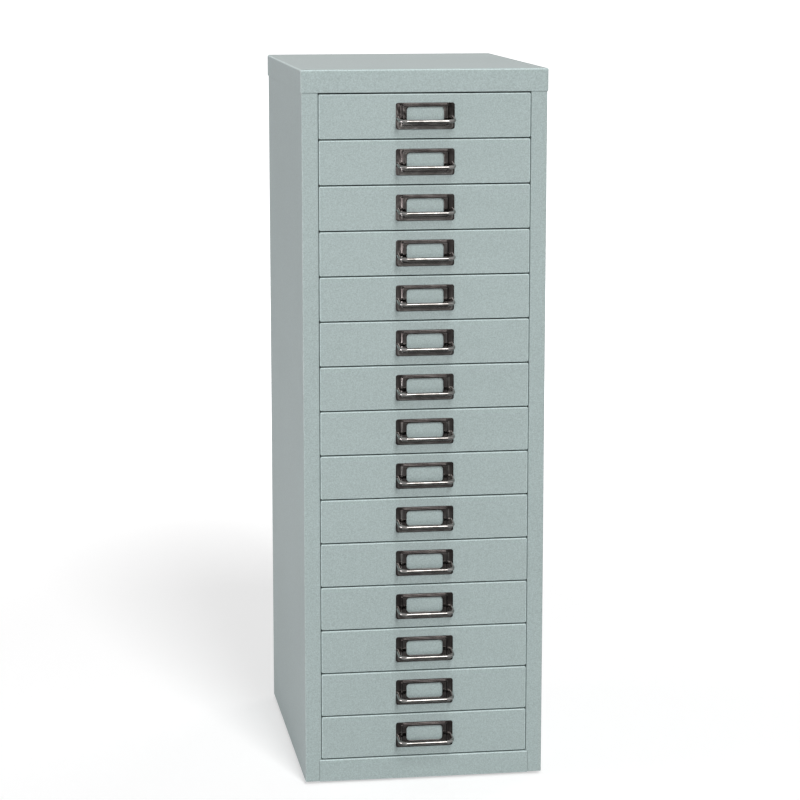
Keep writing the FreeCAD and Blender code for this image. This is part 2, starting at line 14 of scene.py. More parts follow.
import bmesh
import bpy
import numpy as np
from mathutils import Euler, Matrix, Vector

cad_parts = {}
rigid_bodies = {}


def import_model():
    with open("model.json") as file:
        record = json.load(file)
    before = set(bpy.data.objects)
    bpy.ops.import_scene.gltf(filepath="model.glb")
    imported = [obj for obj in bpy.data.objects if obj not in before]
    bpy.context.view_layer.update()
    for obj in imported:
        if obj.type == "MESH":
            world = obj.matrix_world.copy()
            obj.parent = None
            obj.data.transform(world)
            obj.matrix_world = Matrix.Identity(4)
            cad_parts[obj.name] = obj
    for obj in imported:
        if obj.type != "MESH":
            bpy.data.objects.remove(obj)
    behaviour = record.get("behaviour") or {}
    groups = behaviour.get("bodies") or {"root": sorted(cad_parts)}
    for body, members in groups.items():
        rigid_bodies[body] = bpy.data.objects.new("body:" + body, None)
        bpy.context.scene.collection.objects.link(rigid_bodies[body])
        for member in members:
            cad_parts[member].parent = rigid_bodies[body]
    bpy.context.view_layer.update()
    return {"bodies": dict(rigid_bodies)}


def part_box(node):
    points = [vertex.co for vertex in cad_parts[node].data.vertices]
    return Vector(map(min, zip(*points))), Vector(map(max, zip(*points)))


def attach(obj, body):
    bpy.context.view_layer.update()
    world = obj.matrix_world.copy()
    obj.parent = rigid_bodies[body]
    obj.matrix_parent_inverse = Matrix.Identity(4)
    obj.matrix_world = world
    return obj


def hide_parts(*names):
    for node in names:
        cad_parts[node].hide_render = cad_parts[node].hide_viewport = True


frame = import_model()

LOG = logging.getLogger("cabinet")
MM = 0.001
LEAST_TURN = 1e-6
SHARP_TURN = math.radians(40)
QUARTER = math.pi / 2

Array = np.ndarray
Pair = tuple[float, float]
Triple = tuple[float, float, float]
Colour = Triple
Pairs = tuple[Pair, ...]
Points = Sequence[Sequence[float]]
Material = bpy.types.Material
Socket = bpy.types.NodeSocket

WHITE: Colour = (1.0, 1.0, 1.0)
PAINT: Colour = (0.372, 0.447, 0.441)


class Axis(Enum):
    """The axis that an outline is carried along, with the two axes that the outline is drawn on."""

    X = (0, 1, 2)
    Y = (1, 0, 2)
    Z = (2, 0, 1)


class Slot(Enum):
    """The record's material slots."""

    STEEL = "painted_steel"
    TRAY = "painted_tray"
    NICKEL = "nickel_plate"
    RUNNER = "runner_steel"
    GLIDE = "glide_plastic"


class Pairing(Enum):
    """How two strengths of a node tree are worked out together."""

    SUM = "ADD"
    PRODUCT = "MULTIPLY"


# Surfaces


@dataclass
class Surface:
    """Points and faces of a mesh in the making.

    Attributes:
        points: one row for each point.
        faces: lists of point numbers, one for each face.
        tone: painted light at each point, from 0 to 1, where the piece sets it: painted highlights
            on the paint, painted reflections and shade on the nickel.
    """

    points: Array
    faces: list[list[int]]
    tone: Array | None = None

    def moved(self, x: float = 0.0, y: float = 0.0, z: float = 0.0) -> "Surface":
        """The same surface moved by the offset."""
        return Surface(self.points + np.array([x, y, z]), self.faces, self.tone)


def joined(surfaces: Iterable[Surface]) -> Surface:
    """One surface that holds all the given ones.

    Args:
        surfaces: the surfaces to put together.

    Returns:
        Their points one after another, with the faces renumbered to match.
    """
    points: list[Array] = []
    tones: list[Array] = []
    faces: list[list[int]] = []
    count = 0
    for surface in surfaces:
        points.append(surface.points)
        size = len(surface.points)
        tones.append(np.zeros(size) if surface.tone is None else surface.tone)
        faces.extend([[corner + count for corner in face] for face in surface.faces])
        count += size
    return Surface(np.concatenate(points), faces, np.concatenate(tones))


def placed(plane_points: Array, along: Array | float, axis: Axis) -> Array:
    """Points drawn on a plane, put into space at a distance along the axis that crosses it.

    Args:
        plane_points: the two coordinates of each point on the plane.
        along: the distance along the crossing axis, one for all or one for each point.
        axis: the crossing axis.

    Returns:
        The three coordinates of each point.
    """
    crossing, first, second = axis.value
    points = np.empty((len(plane_points), 3))
    points[:, crossing] = along
    points[:, first] = plane_points[:, 0]
    points[:, second] = plane_points[:, 1]
    return points


def rounded_rectangle(
    half_width: float, half_height: float, radius: float, steps: int = 8, middle: float = 0.0
) -> Array:
    """A closed outline: quarter circles about four centres, with straight runs between them.

    Args:
        half_width: middle to the left and right sides.
        half_height: middle to the lower and upper sides.
        radius: rounding of the corners.
        steps: divisions of each quarter circle.
        middle: how far the middle is lifted.

    Returns:
        The points, anticlockwise.
    """
    turns = np.linspace(0, QUARTER, steps + 1) + np.arange(4)[:, None] * QUARTER
    signs = np.array([(1, 1), (-1, 1), (-1, -1), (1, -1)])
    centres = signs * (half_width - radius, half_height - radius)
    across = centres[:, :1] + radius * np.cos(turns)
    up = centres[:, 1:] + radius * np.sin(turns)
    return np.stack([across.ravel(), up.ravel() + middle], axis=1)


def lofted(rings: Sequence[Array], closed: bool = False) -> Surface:
    """A surface through rings with the same number of points: point j of ring k is joined to its
    neighbours on the ring and to point j of ring k + 1.

    Args:
        rings: the rings, in order.
        closed: whether the last ring is joined to the first; otherwise both are filled.

    Returns:
        The closed surface.
    """
    grid = np.stack(rings)
    count, around = grid.shape[:2]
    numbers = np.arange(count * around).reshape(count, around)
    here = numbers if closed else numbers[:-1]
    there = np.roll(numbers, -1, axis=0) if closed else numbers[1:]
    quads = np.stack(
        [here, np.roll(here, -1, axis=1), np.roll(there, -1, axis=1), there], axis=-1
    )
    faces = quads.reshape(-1, 4).tolist()
    if not closed:
        faces += [numbers[0, ::-1].tolist(), numbers[-1].tolist()]
    return Surface(grid.reshape(-1, 3), faces)


def plate(first: Sequence[float], second: Sequence[float], edge: float = 0.1 * MM) -> Surface:
    """A flat piece of sheet with its edges just broken.

    Args:
        first: one of its corners.
        second: the corner opposite to it.
        edge: how far the edges are broken.

    Returns:
        The closed surface.
    """
    low, high = np.minimum(first, second), np.maximum(first, second)
    half, middle = (high - low) / 2, (high + low) / 2
    levels = (-half[2], -half[2] + edge, half[2] - edge, half[2])
    insets = (edge, 0.0, 0.0, edge)
    rings = [
        placed(rounded_rectangle(half[0] - inset, half[1] - inset, edge, 1), level, Axis.Z) + middle
        for level, inset in zip(levels, insets)
    ]
    return lofted(rings)


def smooth_line(corners: Points, radius: float, steps: int = 6) -> tuple[Array, Array, Array]:
    """A line through corners with each turn replaced by an arc that touches both of its runs.

    The arc of a turn t starts radius * tan(t / 2) before the corner, and its point at angle a is
    its centre plus radius * (first run's direction * sin a - first run's normal * cos a).

    Args:
        corners: the corners, in order. A corner that doesn't turn stays a point of the line.
        radius: the radius of the arcs.
        steps: divisions of each arc.

    Returns:
        The points, the direction of the line at each, and its nearness to the middle of an arc.
    """
    places = np.array(corners, float)
    runs = np.diff(places, axis=0)
    ways = runs / np.linalg.norm(runs, axis=1)[:, None]
    points, directions, nearness = [places[:1]], [ways[:1]], [np.zeros(1)]
    for corner, before, after in zip(places[1:-1], ways[:-1], ways[1:]):
        cross = before[0] * after[1] - before[1] * after[0]
        turn = math.atan2(abs(cross), float(before @ after))
        if turn < LEAST_TURN:
            points.append(corner[None])
            directions.append(before[None])
            nearness.append(np.zeros(1))
            continue
        normal = np.array([-before[1], before[0]]) * math.copysign(1, cross)
        centre = corner - before * radius * math.tan(turn / 2) + normal * radius
        angle = np.linspace(0, turn, steps + 1)[:, None]
        points.append(centre + radius * (before * np.sin(angle) - normal * np.cos(angle)))
        directions.append(before * np.cos(angle) + normal * np.sin(angle))
        nearness.append(np.sin(angle[:, 0] / turn * math.pi))
    points.append(places[-1:])
    directions.append(ways[-1:])
    nearness.append(np.zeros(1))
    return np.concatenate(points), np.concatenate(directions), np.concatenate(nearness)


def folded_sheet(
    corners: Points,
    gauge: float,
    inside: float,
    levels: Sequence[float],
    axis: Axis,
    kept: Array | None = None,
    steps: int = 6,
    painted_light: float = 0.0,
) -> Surface:
    """A sheet folded along a line and carried along an axis.

    The middle line is moved by half the sheet's thickness to both sides, along its normal, and both
    sides are repeated at each level. Near its two ends the half thickness h shrinks as h * sin a
    while the line runs h * cos a from the end, so the sheet's edges are round. Cells that aren't
    kept stay open, and a strip closes the sheet wherever a kept cell meets an open one.

    Args:
        corners: the middle line's corners on the plane that the axis crosses.
        gauge: the sheet's thickness.
        inside: the inside radius of the folds.
        levels: places along the axis, in order.
        axis: the axis that the line is carried along.
        kept: for each span between levels, which runs between corners are kept; all by default.
        steps: divisions of each fold.
        painted_light: strength of the painted highlight along the folds.

    Returns:
        The closed surface.
    """
    half = gauge / 2
    line, ways, nearness = smooth_line(corners, inside + half, steps)
    rim_start, rim = math.radians(25), 4
    angles = np.linspace(rim_start, QUARTER, rim)
    start = line[0] + ways[0] * half * (1 - np.cos(angles))[:, None]
    end = line[-1] - ways[-1] * half * (1 - np.cos(angles[::-1]))[:, None]
    line = np.concatenate([start, line[1:-1], end])
    ways = np.concatenate([np.repeat(ways[:1], rim, 0), ways[1:-1], np.repeat(ways[-1:], rim, 0)])
    nearness = np.pad(nearness[1:-1], rim)
    thick = np.full(len(line), half)
    thick[:rim] = half * np.sin(angles)
    thick[-rim:] = half * np.sin(angles[::-1])
    normals = np.stack([-ways[:, 1], ways[:, 0]], axis=1)
    sides = [line + normals * thick[:, None], line - normals * thick[:, None]]
    rings = [placed(side, level, axis) for side in sides for level in levels]
    spans, width = len(levels) - 1, len(line)
    numbers = np.arange(2 * len(levels) * width).reshape(2, len(levels), width)

    cells = np.ones((spans, width - 1), bool)
    if kept is not None:
        nearest = np.abs(line[:, None] - np.array(corners)[None]).sum(-1)
        marks = np.maximum.accumulate(nearest.argmin(0))
        for run, (first, last) in enumerate(zip(marks[:-1], marks[1:])):
            cells[:, first:last] = kept[:, run : run + 1]

    def quads(chosen: Array, *corner_numbers: Array) -> list[list[int]]:
        """Faces over the chosen cells, from the numbers of the cells' four corners."""
        return np.stack([grid[chosen] for grid in corner_numbers], axis=-1).tolist()

    faces = []
    for side in numbers:
        faces += quads(cells, side[:-1, :-1], side[:-1, 1:], side[1:, 1:], side[1:, :-1])
    near, far = numbers
    padded = np.pad(cells, ((0, 0), (1, 1)))
    edge = padded[:, 1:] != padded[:, :-1]
    faces += quads(edge, near[:-1], near[1:], far[1:], far[:-1])
    padded = np.pad(cells, ((1, 1), (0, 0)))
    edge = padded[1:] != padded[:-1]
    faces += quads(edge, near[:, :-1], near[:, 1:], far[:, 1:], far[:, :-1])
    # Painted highlight: the tone is highest in the middle of each fold.
    return Surface(np.concatenate(rings), faces, np.tile(painted_light * nearness, len(rings)))


@dataclass(frozen=True)
class Pan:
    """A pressed pan: a flat face with soft edges and a skirt all round.

    Attributes:
        half_width: middle to the sides of the face.
        half_height: middle to the other two sides.
        depth: height of the skirt.
        gauge: the sheet's thickness.
        edge: rounding between the face and the skirt.
        corner: rounding of the skirt's corners.
        least_bend: smallest rounding inside the edge.
        least_corner: smallest rounding of a ring's corners.
    """

    half_width: float
    half_height: float
    depth: float
    gauge: float
    edge: float
    corner: float
    least_bend: float = 0.2 * MM
    least_corner: float = 0.15 * MM

    def profile(self) -> list[Triple]:
        """Inset, depth and tone of each ring: the face's rim, a quarter circle with a painted
        highlight that is brightest in its middle, the skirt, its hem and its inside.

        Returns:
            One row for each ring.
        """
        # Painted highlight: the edge's tone peaks halfway round its rounding.
        rows = [
            (self.edge * (1 - math.sin(a)), self.edge * (1 - math.cos(a)), math.sin(2 * a))
            for a in np.linspace(0, QUARTER, 8)
        ]
        hem = self.gauge / 2
        foot = self.depth - hem
        lip = np.linspace(0, math.pi, 7)
        rows += [(hem * (1 - math.cos(a)), foot + hem * math.sin(a), 0.0) for a in lip]
        bend = max(self.edge - self.gauge, self.least_bend)
        for a in np.linspace(QUARTER, 0, 4):
            inset = self.gauge + bend * (1 - math.sin(a))
            rows.append((inset, self.gauge + bend * (1 - math.cos(a)), 0.0))
        return rows

    def surface(self) -> Surface:
        """The pan lying face down on the XY plane, with its depth along Z.

        Returns:
            The closed surface.
        """
        rows = self.profile()
        rings = []
        for inset, depth, _ in rows:
            corner = max(self.corner - inset, self.least_corner)
            outline = rounded_rectangle(self.half_width - inset, self.half_height - inset, corner)
            rings.append(placed(outline, depth, Axis.Z))
        surface = lofted(rings)
        surface.tone = np.repeat([tone for *_, tone in rows], len(rings[0]))
        return surface


def tube(line: Array, ways: Array, radii: Array, level: float, around: int = 24) -> Surface:
    """A round bar whose middle line lies flat: a circle of the given radius, turned into the plane
    of the line's normal and the upright, is carried along the line.

    Args:
        line: the middle line's points on the XY plane.
        ways: its direction at each.
        radii: the bar's radius at each.
        level: the height of the line.
        around: points of each circle.

    Returns:
        The closed surface.
    """
    angle = np.linspace(0, 2 * math.pi, around, endpoint=False)
    normals = np.stack([-ways[:, 1], ways[:, 0], np.zeros(len(ways))], axis=1)
    upright = np.array([0.0, 0.0, 1.0])
    middles = placed(line, level, Axis.Z)
    ring = np.cos(angle)[None, :, None] * normals[:, None] + np.sin(angle)[None, :, None] * upright
    points = middles[:, None] + radii[:, None, None] * ring
    return lofted(list(points))


def turned(profile: Points, around: int = 48) -> Surface:
    """A turned piece: each pair of radius and height becomes a circle about the Z axis.

    Args:
        profile: radius and height of each ring, from the bottom up.
        around: points of each circle.

    Returns:
        The closed surface.
    """
    angle = np.linspace(0, 2 * math.pi, around, endpoint=False)
    circle = np.stack([np.cos(angle), np.sin(angle)], axis=1)
    return lofted([placed(circle * radius, height, Axis.Z) for radius, height in profile])


# Finishes


class Nodes:
    """A node tree with short ways to add to it.

    Attributes:
        tree: the tree.
    """

    def __init__(self, tree: bpy.types.NodeTree) -> None:
        """Takes the tree over."""
        self.tree = tree

    def add(self, kind: str, **settings: object) -> bpy.types.Node:
        """A new node.

        Args:
            kind: its type.
            settings: values of its own properties.

        Returns:
            The node.
        """
        node = self.tree.nodes.new(kind)
        for key, value in settings.items():
            setattr(node, key, value)
        return node

    def link(self, source: Socket, target: Socket) -> None:
        """Joins an output to an input."""
        self.tree.links.new(source, target)

    def total(self, first: Socket, second: Socket, pairing: Pairing = Pairing.SUM) -> Socket:
        """Two strengths worked out together and held between 0 and 1.

        Args:
            first: one strength.
            second: the other strength.
            pairing: their sum or their product.

        Returns:
            The strength that comes out.
        """
        node = self.add("ShaderNodeMath", operation=pairing.value, use_clamp=True)
        self.link(first, node.inputs[0])
        self.link(second, node.inputs[1])
        return node.outputs[0]

    def spread(self, source: Socket, low: float, high: float, reach: Pair = (0.3, 0.7)) -> Socket:
        """A strength stretched to run from low to high.

        Args:
            source: the strength.
            low: what its least becomes.
            high: what its most becomes.
            reach: its least and most, by default those of most of a noise.

        Returns:
            The stretched strength.
        """
        node = self.add("ShaderNodeMapRange")
        node.inputs["From Min"].default_value, node.inputs["From Max"].default_value = reach
        node.inputs["To Min"].default_value = low
        node.inputs["To Max"].default_value = high
        self.link(source, node.inputs["Value"])
        return node.outputs["Result"]


class Bench(Nodes):
    """A new material's node tree, with its shader and the object's own coordinates.

    Attributes:
        material: the material.
        shader: the node that shades it.
        place: the object's own coordinates.
    """

    def __init__(self, name: str) -> None:
        """Makes the material.

        Args:
            name: the material's name.
        """
        self.material = bpy.data.materials.new(name)
        self.material.use_nodes = True
        super().__init__(self.material.node_tree)
        self.shader = self.tree.nodes["Principled BSDF"]
        self.place = self.add("ShaderNodeTexCoord").outputs["Object"]

    def noise(self, size: float, detail: float = 2.0, stretch: Triple = (1, 1, 1)) -> Socket:
        """A soft random pattern on the object's own coordinates.

        Args:
            size: width of one patch, in metres.
            detail: how many finer octaves are added.
            stretch: how much longer than wide a patch is along each axis.

        Returns:
            The pattern's strength.
        """
        mapping = self.add("ShaderNodeMapping")
        mapping.inputs["Scale"].default_value = [1 / length for length in stretch]
        self.link(self.place, mapping.inputs["Vector"])
        node = self.add("ShaderNodeTexNoise")
        node.inputs["Scale"].default_value = 1 / size
        node.inputs["Detail"].default_value = detail
        self.link(mapping.outputs["Vector"], node.inputs["Vector"])
        return node.outputs["Fac"]

    def ramp(self, source: Socket, stops: Sequence[tuple[float, Colour]]) -> Socket:
        """Colours spread over a pattern's strength.

        Args:
            source: the pattern.
            stops: places on the ramp with their colours.

        Returns:
            The colour.
        """
        node = self.add("ShaderNodeValToRGB")
        elements = node.color_ramp.elements
        while len(elements) < len(stops):
            elements.new(0.5)
        for element, (position, colour) in zip(elements, stops):
            element.position = position
            element.color = (*colour, 1)
        self.link(source, node.inputs["Fac"])
        return node.outputs["Color"]

    def mixed(self, first: Socket, second: Socket) -> Socket:
        """The product of two colours.

        Args:
            first: one colour.
            second: the other colour.

        Returns:
            Their product, channel by channel.
        """
        node = self.add("ShaderNodeMix", data_type="RGBA", blend_type="MULTIPLY")
        node.inputs["Factor"].default_value = 1
        self.link(first, node.inputs["A"])
        self.link(second, node.inputs["B"])
        return node.outputs["Result"]

    def bumps(self, pattern: Socket, height: float) -> None:
        """Small relief on the material.

        Args:
            pattern: the relief's pattern.
            height: its height in metres.
        """
        node = self.add("ShaderNodeBump")
        node.inputs["Distance"].default_value = height
        self.link(pattern, node.inputs["Height"])
        self.link(node.outputs["Normal"], self.shader.inputs["Normal"])

    def tone(self) -> Socket:
        """The painted light that the surface has at each of its points: highlights on the paint,
        reflections on the nickel.
        """
        return self.add("ShaderNodeAttribute", attribute_name="tone").outputs["Fac"]


def added(name: str, data: bpy.types.ID) -> bpy.types.Object:
    """A new object in the scene.

    Args:
        name: the object's name.
        data: the mesh, light or camera that it shows.

    Returns:
        The object.
    """
    shown = bpy.data.objects.new(name, data)
    bpy.context.scene.collection.objects.link(shown)
    return shown


def shade(colour: Colour, factor: float) -> Colour:
    """The colour made lighter or darker."""
    return tuple(channel * factor for channel in colour)


@dataclass(frozen=True)
class PowderCoat:
    """Fine-textured, semi-matt powder coat on sheet steel.

    Attributes:
        name: the material's name.
        colour: the paint's own colour.
        grain: width of the coat's fine texture, in metres.
        relief: height of that texture.
        fleck: how far single grains differ from the paint's colour.
        edge_highlight: how much paler the coat is painted along an edge, as a painted highlight.
        roughness: lowest and highest roughness.
        ripple: width of the relief's texture.
        drift: width of the slow changes of tone.
        lull: the tone where they are darkest.
        specular: strength of the mirrored light.
    """

    name: str
    colour: Colour
    grain: float = 1.4 * MM
    relief: float = 0.03 * MM
    fleck: float = 0.21
    edge_highlight: float = 1.55
    roughness: Pair = (0.36, 0.44)
    ripple: float = 0.8 * MM
    drift: float = 180 * MM
    lull: float = 0.97
    specular: float = 0.35

    def material(self) -> Material:
        """Grain in the colour and the relief, over slow drifts of tone along the sheet, with a
        painted highlight along the edges.

        Returns:
            The material.
        """
        bench = Bench(self.name)
        grains = bench.noise(self.grain, 3.0)
        drift = bench.noise(self.drift, 1.0)
        flecks = [
            (0.25, shade(self.colour, 1 - self.fleck)),
            (0.50, self.colour),
            (0.75, shade(self.colour, 1 + self.fleck)),
        ]
        speckle = bench.ramp(grains, flecks)
        slow = bench.ramp(drift, [(0.3, shade(WHITE, self.lull)), (0.7, WHITE)])
        # Painted highlight: the coat is made paler along edges, following the piece's tone.
        painted_highlight = bench.spread(bench.tone(), 1.0, self.edge_highlight, (0.0, 1.0))
        coat = bench.mixed(bench.mixed(speckle, slow), painted_highlight)
        bench.link(coat, bench.shader.inputs["Base Color"])
        bench.link(bench.spread(grains, *self.roughness), bench.shader.inputs["Roughness"])
        bench.shader.inputs["Specular IOR Level"].default_value = self.specular
        bench.bumps(bench.noise(self.ripple, 2.0), self.relief)
        return bench.material


@dataclass(frozen=True)
class DarkNickel:
    """Bright dark nickel plate with painted reflections and shade: near black where the piece's
    tone is low, paler where it is high.

    Attributes:
        name: the material's name.
        gain: how much lighter than the stops the colours are.
        roughness: lowest and highest roughness.
        cloud: width of the clouds in the tone.
        cloudiness: the most that they take from the tone and add to it.
        smudge: width of the smudges in the gloss.
        wave: width of the waves in the relief.
        wave_height: their height.
        stops: colours from the darkest tone to the palest.
    """

    name: str
    gain: float = 1.0
    roughness: Pair = (0.05, 0.12)
    cloud: float = 11 * MM
    cloudiness: Pair = (-0.10, 0.12)
    smudge: float = 6 * MM
    wave: float = 7 * MM
    wave_height: float = 0.12 * MM
    stops: tuple[tuple[float, Colour], ...] = (
        (0.0, (0.018, 0.016, 0.016)),
        (0.3, (0.050, 0.044, 0.042)),
        (0.6, (0.112, 0.105, 0.099)),
        (1.0, (0.360, 0.350, 0.340)),
    )

    def material(self) -> Material:
        """The piece's tone, its painted reflections and shade, moved a little by clouds, with
        smudges in the gloss and waves.

        Returns:
            The material.
        """
        bench = Bench(self.name)
        clouds = bench.spread(bench.noise(self.cloud, 2.0), *self.cloudiness)
        total = bench.total(bench.tone(), clouds)
        colours = [(position, shade(colour, self.gain)) for position, colour in self.stops]
        bench.link(bench.ramp(total, colours), bench.shader.inputs["Base Color"])
        bench.shader.inputs["Metallic"].default_value = 1
        smudges = bench.noise(self.smudge, 4.0)
        bench.link(bench.spread(smudges, *self.roughness), bench.shader.inputs["Roughness"])
        bench.bumps(bench.noise(self.wave, 1.0), self.wave_height)
        return bench.material


@dataclass(frozen=True)
class ZincPlate:
    """Dull zinc plate, rubbed along its length by the drawers.

    Attributes:
        name: the material's name.
        colour: the plate's own colour.
        spangle: width of its crystals.
        scratch: width of the scratches.
        scratch_length: how much longer than wide they are.
        scratch_depth: their depth.
        roughness: lowest and highest roughness.
    """

    name: str = "runner_zinc"
    colour: Colour = (0.52, 0.53, 0.54)
    spangle: float = 6 * MM
    scratch: float = 0.4 * MM
    scratch_length: float = 40
    scratch_depth: float = 0.01 * MM
    roughness: Pair = (0.28, 0.48)

    def material(self) -> Material:
        """Spangles in the colour and long fine scratches in the relief and the gloss.

        Returns:
            The material.
        """
        bench = Bench(self.name)
        spangles = bench.noise(self.spangle, 3.0)
        stops = [(0.35, shade(self.colour, 0.8)), (0.65, shade(self.colour, 1.1))]
        bench.link(bench.ramp(spangles, stops), bench.shader.inputs["Base Color"])
        bench.shader.inputs["Metallic"].default_value = 1
        scratches = bench.noise(self.scratch, 2.0, (1, self.scratch_length, 1))
        bench.link(bench.spread(scratches, *self.roughness), bench.shader.inputs["Roughness"])
        bench.bumps(scratches, self.scratch_depth)
        return bench.material


@dataclass(frozen=True)
class MouldedPlastic:
    """Black moulded plastic with a fine grain.

    Attributes:
        name: the material's name.
        colour: the plastic's own colour.
        dust: width of the patches of dust.
        roughness: lowest and highest roughness.
        grain: width of the grain.
        relief: its height.
    """

    name: str = "glide_black"
    colour: Colour = (0.028, 0.028, 0.03)
    dust: float = 3 * MM
    roughness: Pair = (0.45, 0.62)
    grain: float = 0.5 * MM
    relief: float = 0.03 * MM

    def material(self) -> Material:
        """A grain in the relief, with dust that lightens the colour in patches.

        Returns:
            The material.
        """
        bench = Bench(self.name)
        dust = bench.noise(self.dust, 4.0)
        stops = [(0.4, self.colour), (0.75, shade(self.colour, 2.2))]
        bench.link(bench.ramp(dust, stops), bench.shader.inputs["Base Color"])
        bench.link(bench.spread(dust, *self.roughness), bench.shader.inputs["Roughness"])
        bench.bumps(bench.noise(self.grain, 2.0), self.relief)
        return bench.material


@dataclass(frozen=True)
class Finishes:
    """Every finish of the cabinet as a material, made once.

    Attributes:
        steel: the painted body and drawer fronts.
        tray: the thinner coat inside the drawers.
        plate: the label frames' nickel.
        wire: the wire handles' nickel.
        zinc: the runners' plate.
        plastic: the floor glides.
    """

    steel: Material = field(default_factory=PowderCoat("painted_steel", PAINT).material)
    tray: Material = field(
        default_factory=PowderCoat(
            "painted_tray", shade(PAINT, 0.96), relief=0.015 * MM, fleck=0.1, roughness=(0.42, 0.5)
        ).material
    )
    plate: Material = field(default_factory=DarkNickel("nickel_label_frame", 0.88).material)
    wire: Material = field(default_factory=DarkNickel("nickel_wire", 0.9, (0.08, 0.14)).material)
    zinc: Material = field(default_factory=ZincPlate().material)
    plastic: Material = field(default_factory=MouldedPlastic().material)


def make_piece(
    name: str,
    surface: Surface,
    material: Material,
    body: str,
    nodes: Sequence[str],
) -> None:
    """Makes a finished piece on its body, in the place of the nodes that it stands for.

    Args:
        name: the piece's name.
        surface: its points and faces.
        material: its finish.
        body: the body that it rides on.
        nodes: the frame's nodes that it stands for.
    """
    mesh = bpy.data.meshes.new(name)
    mesh.from_pydata(surface.points.tolist(), [], surface.faces)
    # The tone attribute carries the painted highlights and painted reflections into the material.
    if surface.tone is not None:
        tones = mesh.attributes.new("tone", "FLOAT", "POINT")
        tones.data.foreach_set("value", surface.tone)
    shape = bmesh.new()
    shape.from_mesh(mesh)
    loose = [vertex for vertex in shape.verts if not vertex.link_faces]
    bmesh.ops.delete(shape, geom=loose, context="VERTS")
    bmesh.ops.recalc_face_normals(shape, faces=shape.faces)
    shape.to_mesh(mesh)
    shape.free()
    mesh.polygons.foreach_set("use_smooth", [True] * len(mesh.polygons))
    mesh.set_sharp_from_angle(angle=SHARP_TURN)
    mesh.materials.append(material)
    piece = added(name, mesh)
    weights = piece.modifiers.new("flat_faces", "WEIGHTED_NORMAL")
    weights.mode = "FACE_AREA"
    weights.keep_sharp = True
    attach(piece, body)
    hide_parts(*nodes)
    LOG.info("%s: %d faces on %s", name, len(mesh.polygons), body)


# The cabinet's body


